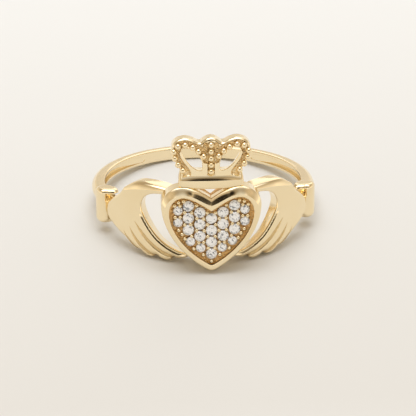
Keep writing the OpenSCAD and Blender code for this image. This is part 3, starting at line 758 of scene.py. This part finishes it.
class RING_OT_hands(bpy.types.Operator):
    """Two hands: palm, bevelled thumb, crescent opening, and four fingers parted by grooves"""
    bl_idname = "ring.hands"
    bl_label = "Hands"

    def execute(self, context):
        p = Plan(context.scene.ring_sizes)
        # Places on a hand are unrolled to [mm round the hand, height]
        roll = math.pi / 180 * p.hand_r

        def unrolled(points):
            points = np.asarray(points, float)
            return points * np.stack([np.full(len(points), roll),
                                      np.where(points[:, 1] < 0, p.hand_h, p.thumb_h)], -1)

        outline = through(unrolled(HAND_EDGE), 8)
        crescent = through(unrolled(CRESCENT_EDGE), 8)
        # Lines across the hand join the crescent to the outer edge, evened out along both
        stations = np.array(HAND_STATIONS)
        order = np.arange(0, len(stations) - 1 + 1e-9, 1 / 14)
        ends = []
        for line, pair in ((crescent, stations[:, :2]), (outline, stations[:, 2:])):
            run = np.maximum.accumulate(nearest(pair * [roll, 1], line)[1])
            own = np.interp(order, np.arange(len(run)), run)
            for _ in range(40):
                own[1:-1] = (own[:-2] + 2 * own[1:-1] + own[2:]) / 4
            ends.append(at_run(line, own))
        inner, outer = ends
        # Their points lie closer together at both ends
        t = np.linspace(0, 1, 85)
        t = 0.3 * (1 - np.cos(t * math.pi)) + 0.4 * t
        face = inner[:, None] + (outer - inner)[:, None] * t[None, :, None]
        at, high = face[..., 0] / roll, face[..., 1]

        to_out = nearest(face, outline)[0]
        to_in = nearest(face, crescent)[0]
        low = smooth((-high - 0.9) / 0.8)
        fall = round_over(to_out, p.hand_edge + 0.06 * low, p.hand_edge - 0.04 * low)
        # A thin rounded rim along the crescent, and a crease where the first finger rises beside it
        rim_line = through(unrolled(RIM_CREASE), 6)
        to_crease, run = nearest(face, rim_line)
        begun = smooth((run - 0.1) / 0.7)
        on_rim = inside(face, np.vstack([rim_line, unrolled(RIM_BACK)]))
        steep = 0.42 + 0.25 * smooth(1 - run / 2.5)
        fall += round_over(to_in, 0.15, 0.12)
        fall += begun * steep * np.clip(0.17 - to_crease * np.where(on_rim, 2.5, 1), 0, None)
        # The fingers are parted by shallow tapering channels, matt on their floors and painted darker there,
        # a painted shade
        channels = np.zeros_like(fall)
        for line in GROOVES:
            gap, run = nearest(face, through(unrolled(line), 6))
            wide = p.groove_w / 2 * (0.3 + 0.7 * smooth(run / 1.4))
            channels = np.maximum(channels, smooth((wide - gap) / 0.07) * smooth(run / 0.5 + 0.25))
            valley = np.cos(np.clip(gap / 0.4, 0, 1) * math.pi / 2)
            fall += p.groove_t * 0.35 * smooth(run / 1.5 - 0.2) * valley
        fall += p.groove_t * 0.25 * channels
        # Knuckles and palm swell a little
        fall -= 0.05 * smooth(to_out / 1.2) * smooth(to_in / 1.2)
        # The thumb turns over from a crease on its face to its back in one round sweep
        crease, crest = through(unrolled(THUMB_CREASE), 8), through(unrolled(HAND_EDGE[:THUMB_END]), 8)
        edge = np.interp(at, crease[:, 0] / roll, crease[:, 1])
        room = np.maximum(np.interp(at, crest[:, 0] / roll, crest[:, 1]) - edge, 0.03)
        q = np.clip((high - edge) / room, 0, 1)
        sweep = 0.35 * room * q + p.thumb_turn * np.minimum(room / 0.4, 1) * (1 - (1 - q**4) ** 0.25)
        on_thumb = smooth((50 - at) / 8) * ((high > 1.5) & (q > 0))
        fall = np.maximum(sweep * on_thumb, fall * (1 - smooth(room / 0.1) * on_thumb))
        front = round_finger(at, p.hand_r - 0.05 - fall, high)

        # At the back the crescent lies a little further from the heart, and lower
        back_in = inner / [roll, 1] + [2.9, -0.14]
        back_out = outer / [roll, 1]
        sink = np.linspace(0, 1, 12)[1:-1]
        walls = []
        for top_row, back in ((front[:, -1], back_out), (front[:, 0], back_in)):
            foot = round_finger(back[:, 0], p.bore, back[:, 1])
            walls.append(top_row[:, None] + (foot - top_row)[:, None] * sink[None, :, None])
        across = np.linspace(0, 1, 25)
        under = back_out[:, None] + (back_in - back_out)[:, None] * across[None, :, None]
        bore = round_finger(under[..., 0], p.bore, under[..., 1])
        rows = np.concatenate([front, walls[0], bore, walls[1][:, ::-1]], axis=1)
        # The channels' floors take the satin finish painted darker, a painted shade
        hand = shell("hand_right", rows, channels > 0.6)
        for piece in (hand, other_side(hand, "hand_left")):
            finish_piece(context, piece, crease=32, finishes=(GOLD, SATIN_PAINTED_SHADE))
        return {"FINISHED"}


class RING_OT_heart(bpy.types.Operator):
    """The heart's deep body, with a rounded shoulder over its lobes and a flat rim round the field"""
    bl_idname = "ring.heart"
    bl_label = "Heart"

    def execute(self, context):
        p = Plan(context.scene.ring_sizes)
        # Up the field's wall and round the rim's inner corner: [mm below the rim, mm further in]
        corner = [(p.field_t + 0.7, 0), (p.field_t, 0), (0.25, 0), (0.06, 0), (0.035, -0.004),
                  (0.015, -0.014), (0.004, -0.028), (0, -0.045)]
        rows = [from_front(field_line(p, more), -(p.front - sunk)) for sunk, more in corner]
        inner = field_line(p, corner[-1][1])
        crease = shoulder_line(p, 0)
        for share in (0.25, 0.5, 0.75, 0.93):
            rows.append(from_front(inner + (crease - inner) * share, -p.front))
        rows.append(from_front(crease, -p.front))
        # The shoulder leaves the rim in a crease at the notch and over the lobes, and softly down the sides
        over = smooth((np.abs(crease[:, 0]) - 1.5) / 0.9)
        soft = smooth((1.9 - crease[:, 1]) / 1.2) * smooth(np.abs(crease[:, 0]) / 0.6 + (crease[:, 1] < 0))
        start = (0.25 + 0.22 * over) * (1 - soft) + 0.05 * soft
        full = 1.35 + over * (1 - soft)
        for t in np.linspace(0, 1, 19)[1:]:
            share = 1.26 * t * (1 - t)**2 + 3 * t*t * (1 - t) + t**3
            sunk = 3 * t * (1 - t)**2 * start + full * t*t * (1 - t) + t**3
            rows.append(from_front(shoulder_line(p, share), -(p.front - p.shoulder_t * sunk)))
        wall = heart(p, 0, 0, 0, 0)
        split = p.front - p.shoulder_t - p.notch_depth
        for depth in (*np.linspace(p.front - p.shoulder_t, split, 5)[1:], split - 0.02,
                      *np.linspace(split - 0.1, p.wall_back, 4)):
            rows.append(from_front(wall, -depth))
        # From there the wall draws in until it meets the finger hole
        drawn_in = heart(p, 1.2, 1.2, 0.25, 0.65)
        a, b = from_front(wall, -p.wall_back), from_front(drawn_in, -0.8 * p.finger_r)
        lo, hi = np.zeros(len(a)), np.ones(len(a))
        for _ in range(30):
            mid = (lo + hi) / 2
            place = a + (b - a) * mid[:, None]
            out = np.hypot(place[:, 0], place[:, 1]) > p.bore
            lo, hi = np.where(out, mid, lo), np.where(out, hi, mid)
        back = a + (b - a) * lo[:, None]
        for share in np.linspace(0, 1, 11)[1:]:
            rows.append(a + (back - a) * share)
        # Behind the notch the lobes part, and one sees through below the crown
        for row in rows:
            t = np.clip((split + row[:, 1]) / (split - p.finger_r + 0.6), 0, 1)
            lowest = p.notch_h - t
            lifted = lowest + np.abs(row[:, 0]) / 1.9 * (p.lobe_h + 0.6 - lowest)
            cut = (row[:, 1] > -split + 0.01) & (row[:, 2] > 0)
            row[:, 2] = np.where(cut, np.minimum(row[:, 2], lifted), row[:, 2])
        # The notch's walls, which take the painted shade finish
        behind = p.shoulder_t + 0.5 - p.front
        in_notch = [(row[:, 1] > behind) & (np.abs(row[:, 0]) < 1.5) & (row[:, 2] > 0.8) for row in rows]
        back = rows[-1][:, [0, 2]]
        for share in np.linspace(1, 0, 16)[1:-1]:
            flat = back * share + np.array([0, 0.3]) * (1 - share)
            rows.append(from_front(flat, -np.sqrt((p.bore) ** 2 - flat[:, 0] ** 2)))
        # The notch's walls get a deeper orange painted shade, for the shade and bounced light between them,
        # and under the rim the field's lower wall a near black painted shade, for its dark reflection
        marks = np.zeros((len(rows), len(wall)), np.int32)
        marks[:len(in_notch)] = in_notch
        marks[2] = np.where(rows[2][:, 2] < 0.9, 2, 0)
        finish_piece(context, shell("heart_body", rows, marks), crease=14, finishes=(GOLD, NOTCH_PAINTED_SHADE, WALL_PAINTED_SHADE))
        return {"FINISHED"}


class RING_OT_pave(bpy.types.Operator):
    """The sunken field with a seat for each stone, and the prong beads between them"""
    bl_idname = "ring.pave"
    bl_label = "Field and prong beads"

    def execute(self, context):
        p = Plan(context.scene.ring_sizes)
        # The field starts as a fine grid of points, this many millimetres apart
        step = 0.045
        wide = np.arange(-p.heart_w / 2 + 0.3, p.heart_w / 2 - 0.3, step)
        high = np.arange(-p.tip_h + 0.3, p.lobe_h - 0.3, step)
        x, z = np.meshgrid(wide, high)
        sink = np.zeros_like(x)
        for sx, sz, d in p.stones():
            dx, dz = x - sx, z - sz
            gap = np.hypot(dx, dz)
            r = d / 2 + 0.002
            # Points next to a seat's edge are moved onto it, so that the seat is round
            pull = np.where(np.abs(gap - r) < 0.5 * step, r / np.maximum(gap, 1e-6), 1)
            x, z = sx + dx * pull, sz + dz * pull
            gap = np.hypot(x - sx, z - sz)
            # The seat is a cone, with a small step at its edge
            sink = np.where(gap < r - 1e-4, 0.03 + 0.42 * d * np.clip(1 - gap / r, 0, 1), sink)
        flat = np.stack([x, z], -1)
        plate = grid_piece("paved_field", from_front(flat, -(p.field - sink)))
        keep = inside(flat, field_line(p, -0.2))
        face_in = keep[:-1, :-1] & keep[1:, :-1] & keep[:-1, 1:] & keep[1:, 1:]
        bpy.ops.object.mode_set(mode="EDIT")
        bpy.ops.mesh.select_mode(type="FACE")
        bpy.ops.mesh.select_all(action="DESELECT")
        bpy.ops.object.mode_set(mode="OBJECT")
        plate.data.polygons.foreach_set("select", ~face_in.ravel())
        bpy.ops.object.mode_set(mode="EDIT")
        bpy.ops.mesh.delete(type="FACE")
        bpy.ops.mesh.select_all(action="SELECT")
        bpy.ops.mesh.extrude_region_move(TRANSFORM_OT_translate={
            "value": (0, p.plate_t * MM * LEAN_COS, -p.plate_t * MM * LEAN_SIN)})
        bpy.ops.object.mode_set(mode="OBJECT")
        settle(plate)
        # The field's punched ground, its deeper colour partly painted shade
        finish_piece(context, plate, crease=30, finishes=(PUNCHED,))

        for name, size, places in (("prong_beads", p.prong_d, PRONG_BEADS),
                                   ("rim_beads", p.rim_bead_d, RIM_BEADS)):
            centres = from_front(both_sides(places), -(p.field + 0.1))
            finish_piece(context, repeated(name, bead_at_front(size, 16, 11), centres), crease=60)
        return {"FINISHED"}


class RING_OT_crown(bpy.types.Operator):
    """The crown: a rounded bar, two open loops with a lip and a rim, and raised beads"""
    bl_idname = "ring.crown"
    bl_label = "Crown"

    def execute(self, context):
        p = Plan(context.scene.ring_sizes)

        def bar_row(z, ends, front_in, back_in, lean=0.0):
            """A level outline of the bar, drawn in by its own amount at the ends, the front and the back"""
            front, back = -p.bar_front + front_in + p.bar_bow + lean, -p.bar_front + p.bar_t - back_in
            r = min(p.bar_corner, (back - front) / 2)
            w = p.bar_w / 2 - ends - r
            near, far = front + r, back - r
            row = []
            for sx, y, start in ((1, near, -90), (1, far, 0), (-1, far, 90), (-1, near, 180)):
                for a in np.radians(np.linspace(start, start + 90, 9)):
                    row.append((sx * w + r * math.cos(a), y + r * math.sin(a), z))
            # The front bows out towards the middle, and leans back more towards its ends
            row += [(w * x, front - p.bar_bow * (1 - x**2) - lean * (1 - x**4), z)
                    for x in np.linspace(-1, 1, 41)[1:-1]]
            return row

        rows = []
        for a in np.radians(np.linspace(0, 90, 8)):
            tuck = 1 - math.sin(a)
            rows.append(bar_row(p.bar_bottom + 0.22 * (1 - math.cos(a)), 0.24 * tuck, 0.1 * tuck, 0.1 * tuck))
        # Over the flat face the front leaves in a crease and rounds over to the top
        rise, deep = p.bar_h - p.bar_flat, p.bar_round
        over = curve([0, 0], [0.16 * deep, 0.5 * rise], [0.6 * deep, rise], [deep, rise], 16)
        for turn, up in np.vstack([[0, 0], over]):
            rows.append(bar_row(p.bar_bottom + p.bar_flat + up, 0.3 * turn, turn, 0.2 * turn, 0.18 * up))
        finish_piece(context, shell("crown_bar", rows), crease=14)

        # The right loop's face lies between its opening and a closed line round the crown's right half
        inner = through(p.on_crown(OPENING_EDGE), 20, closed=True)
        edge = through(p.on_crown(LOOP_EDGE), 10)
        foot = p.on_crown((0, LOOP_EDGE[0][1]))
        around = np.vstack([edge, np.linspace(edge[-1], foot, 40)[1:], np.linspace(foot, edge[0], 40)[1:]])
        total = run_of(around)[-1]
        partner = nearest(p.on_crown(OPENING_PARTNER), around)[1]
        # The opening's points run the other way round than the edge's, so the run falls, and wraps once
        steps = np.concatenate([partner, partner[:1]])
        for i in range(1, len(steps)):
            while steps[i] > steps[i - 1]:
                steps[i] -= total
        run = np.interp(np.arange(len(inner)) / 20, np.arange(len(steps)), steps) % total
        outer = at_run(around, run)
        share = np.unique(np.concatenate([
            np.linspace(0, 0.12, 7), np.linspace(0.12, 0.88, 34), np.linspace(0.88, 1, 7)]))
        face = inner[:, None] + (outer - inner)[:, None] * share[None, :, None]

        to_edge = nearest(face, edge)[0]
        to_hole = nearest(face, np.vstack([inner, inner[:1]]))[0]
        beads = p.on_crown(LOOP_BEADS) - [0, 0.12]
        middle = p.on_crown([(0, POST_FOOT + POST_STEP * i) for i in range(POST_BEADS)])
        # The beads lie in a sunken, punched ground, which widens under the dome and in the lower corners
        bead_line = through(np.vstack([p.on_crown(GROUND_START), beads, p.on_crown(GROUND_END)]), 6)
        post = np.vstack([middle[:1] - [0, 0.3], middle])
        to_beads = np.minimum(nearest(face, bead_line)[0] - 0.2, nearest(face, post)[0])
        to_beads = np.minimum(to_beads, nearest(face, p.on_crown(WELL))[0] + 0.06)
        ground = smooth((0.31 - to_beads) / 0.1)
        ground *= smooth((to_hole - 0.08) / 0.06) * smooth((to_edge - 0.16) / 0.08)
        sink = p.ground_t * ground + round_over(to_edge, 0.3, 0.26) + round_over(to_hole, 0.08, 0.07)
        front = from_front(face, -(p.loop_front - sink))

        def wall(start, end, sunk, shares):
            """Rows from a line sunk below the loops' front to another line on their back"""
            return [from_front(start + (end - start) * t, -(p.loop_front - sunk - (p.loop_t - sunk) * t))
                    for t in shares]

        # The opening widens towards the back
        flare = inner + (outer - inner) * 0.22
        depth = np.linspace(0, 1, 9)[1:]
        loop = [*front.transpose(1, 0, 2), *wall(outer, outer, 0.14, depth),
                *wall(outer, flare, p.loop_t, np.linspace(0, 1, 8)[1:-1]),
                *wall(inner, flare, 0.06, depth)[::-1]]
        # The last row is joined to the first
        half = skin("crown_loops", np.stack([*loop, loop[0]]), ground.T > 0.5)
        # Joining keeps the marks only on pieces that have their finishes
        finishes = (GOLD, PUNCHED_CROWN)
        for name in finishes:
            half.data.materials.append(metal(context, name))
        joined("crown_loops", [half, other_side(half, "crown_loop_left")])
        finish_piece(context, half, crease=35, finishes=finishes)

        places = from_front(np.vstack([beads, beads * [-1, 1], middle]), -(p.loop_front + 0.06))
        finish_piece(context, repeated("crown_beads", bead_at_front(p.bead_d, 24, 15), places), crease=60)
        return {"FINISHED"}


class RING_OT_stones(bpy.types.Operator):
    """The finish of the cut stones, which keep their facets from the frame"""
    bl_idname = "ring.stones"
    bl_label = "Stones"

    def execute(self, context):
        material = cut_zirconia(context.scene.ring_finish)
        for name in STONES:
            stone = frame["nodes"][name]
            stone.data.materials.clear()
            stone.data.materials.append(material)
        return {"FINISHED"}


class RING_OT_stage(bpy.types.Operator):
    """Pale paper floor, soft studio light, and the camera at the photograph's angle"""
    bl_idname = "ring.stage"
    bl_label = "Stage"

    def execute(self, context):
        finish = context.scene.ring_finish
        bpy.ops.object.select_all(action="DESELECT")
        floor_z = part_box("ring_casting")[0].z
        bpy.ops.mesh.primitive_circle_add(vertices=96, radius=3, fill_type="NGON", location=(0, 0, floor_z))
        floor = context.object
        floor.name = floor.data.name = "paper_floor"
        paper, tree = blank_material("matt_paper")
        place = add(tree, "ShaderNodeTexCoord").outputs["Object"]
        fibre = add(tree, "ShaderNodeTexNoise", {"Vector": place, "Scale": 1 / (0.5 * MM), "Detail": 3.0})
        bump = add(tree, "ShaderNodeBump", {"Height": fibre.outputs["Fac"], "Strength": 0.03,
                                            "Distance": 0.05 * MM})
        # The paper is painted darker in a band in front of the ring, a painted shade
        ground = add(tree, "ShaderNodeSeparateXYZ", {"Vector": place})
        away = add(tree, "ShaderNodeMapRange", {"Value": ground.outputs["Y"], "From Min": -0.07,
                                                "From Max": 0.05})
        tone = add(tree, "ShaderNodeValToRGB", {"Fac": away.outputs["Result"]})
        stops = tone.color_ramp.elements
        stops[0].position, stops[0].color = 0.0, finish.paper
        stops[1].position, stops[1].color = 1.0, finish.paper
        stops.new(0.33).color = finish.paper_painted_shade
        shader = add(tree, "ShaderNodeBsdfPrincipled", {
            "Base Color": tone.outputs["Color"], "Roughness": 0.9, "Normal": bump.outputs["Normal"]})
        add(tree, "ShaderNodeOutputMaterial", {"Surface": shader.outputs["BSDF"]})
        floor.data.materials.append(paper)

        # The studio: a white tent, brighter overhead, with a few dark openings towards the camera, which
        # polished metal shows as dark middles on its beads and dark bands on its rounded edges
        context.scene.view_settings.view_transform = "Standard"
        world = bpy.data.worlds.new("studio")
        context.scene.world = world
        world.use_nodes = True
        tree = world.node_tree
        tree.nodes.clear()
        ray = add(tree, "ShaderNodeTexCoord").outputs["Generated"]
        parts = add(tree, "ShaderNodeSeparateXYZ", {"Vector": ray})
        ramp = add(tree, "ShaderNodeValToRGB", {"Fac": parts.outputs["Z"]})
        stops = ramp.color_ramp.elements
        for stop, (at, code) in zip(stops, (TENT[0], TENT[-1])):
            stop.position, stop.color = at, linear(code)
        for at, code in TENT[1:-1]:
            stops.new(at).color = linear(code)
        tent = ramp.outputs["Color"]
        for around, height, core, edge, dark in DARK_SPOTS:
            a, e = math.radians(around), math.radians(height)
            off = add(tree, "ShaderNodeVectorMath", {
                0: ray, 1: (math.sin(a) * math.cos(e), -math.cos(a) * math.cos(e), math.sin(e))},
                operation="DOT_PRODUCT")
            shade = add(tree, "ShaderNodeMapRange", {
                "Value": off.outputs["Value"], "From Min": math.cos(math.radians(edge)),
                "From Max": math.cos(math.radians(core)), "To Max": dark}, interpolation_type="SMOOTHSTEP")
            tent = add(tree, "ShaderNodeMix", {"Factor": shade.outputs["Result"], 6: tent,
                                               7: linear("#1a140c")}, data_type="RGBA").outputs[2]
        glow = add(tree, "ShaderNodeBackground", {"Color": tent, "Strength": 1.49})
        add(tree, "ShaderNodeOutputWorld", {"Surface": glow.outputs["Background"]})

        for name, place, size, power in (
                ("key_light", (-0.05, 0.1, 0.8), 0.6, 2.5), ("back_light", (0.2, 0.8, 0.5), 0.6, 0.9)):
            lamp = bpy.data.lights.new(name, "AREA")
            lamp.size = size
            lamp.energy = power
            light = bpy.data.objects.new(name, lamp)
            light.location = place
            light.rotation_euler = (-Vector(place)).to_track_quat("-Z", "Y").to_euler()
            context.scene.collection.objects.link(light)

        lens = bpy.data.cameras.new("camera")
        far = 0.2
        lens.sensor_width = 36
        lens.lens = 36 * PIXELS_PER_MM * far / MM / PIXELS
        lens.shift_x = 5.1 / PIXELS
        lens.shift_y = -24.3 / PIXELS
        lens.clip_start = 0.01
        lens.clip_end = 20
        camera = bpy.data.objects.new("camera", lens)
        turn, tilt = finish.view_turn, finish.view_tilt
        towards = Vector((math.sin(turn) * math.cos(tilt), -math.cos(turn) * math.cos(tilt), math.sin(tilt)))
        camera.location = towards * far
        upright = (-towards).to_track_quat("-Z", "Y")
        camera.rotation_euler = (upright @ Quaternion((0, 0, 1), finish.view_roll)).to_euler()
        context.scene.collection.objects.link(camera)
        context.scene.camera = camera
        return {"FINISHED"}


OPERATORS = (RING_OT_shank, RING_OT_cuffs, RING_OT_hands, RING_OT_heart, RING_OT_pave, RING_OT_crown,
             RING_OT_stones, RING_OT_stage)


class RING_PT_panel(bpy.types.Panel):
    """Builds the ring piece by piece"""
    bl_idname = "RING_PT_panel"
    bl_label = "Claddagh Ring"
    bl_space_type = "VIEW_3D"
    bl_region_type = "UI"
    bl_category = "Claddagh Ring"

    def draw(self, context):
        for operator in OPERATORS:
            self.layout.operator(operator.bl_idname)
        for group in (context.scene.ring_sizes, context.scene.ring_finish):
            for name in group.__annotations__:
                self.layout.prop(group, name)


CLASSES = (RING_PG_sizes, RING_PG_finish, *OPERATORS, RING_PT_panel)


def register():
    for kind in CLASSES:
        bpy.utils.register_class(kind)
    bpy.types.Scene.ring_sizes = PointerProperty(type=RING_PG_sizes)
    bpy.types.Scene.ring_finish = PointerProperty(type=RING_PG_finish)


def unregister():
    del bpy.types.Scene.ring_finish
    del bpy.types.Scene.ring_sizes
    for kind in reversed(CLASSES):
        bpy.utils.unregister_class(kind)


def main():
    register()
    bpy.ops.ring.shank()
    bpy.ops.ring.cuffs()
    bpy.ops.ring.hands()
    bpy.ops.ring.heart()
    bpy.ops.ring.pave()
    bpy.ops.ring.crown()
    bpy.ops.ring.stones()
    bpy.ops.ring.stage()


if __name__ == "__main__":
    main()
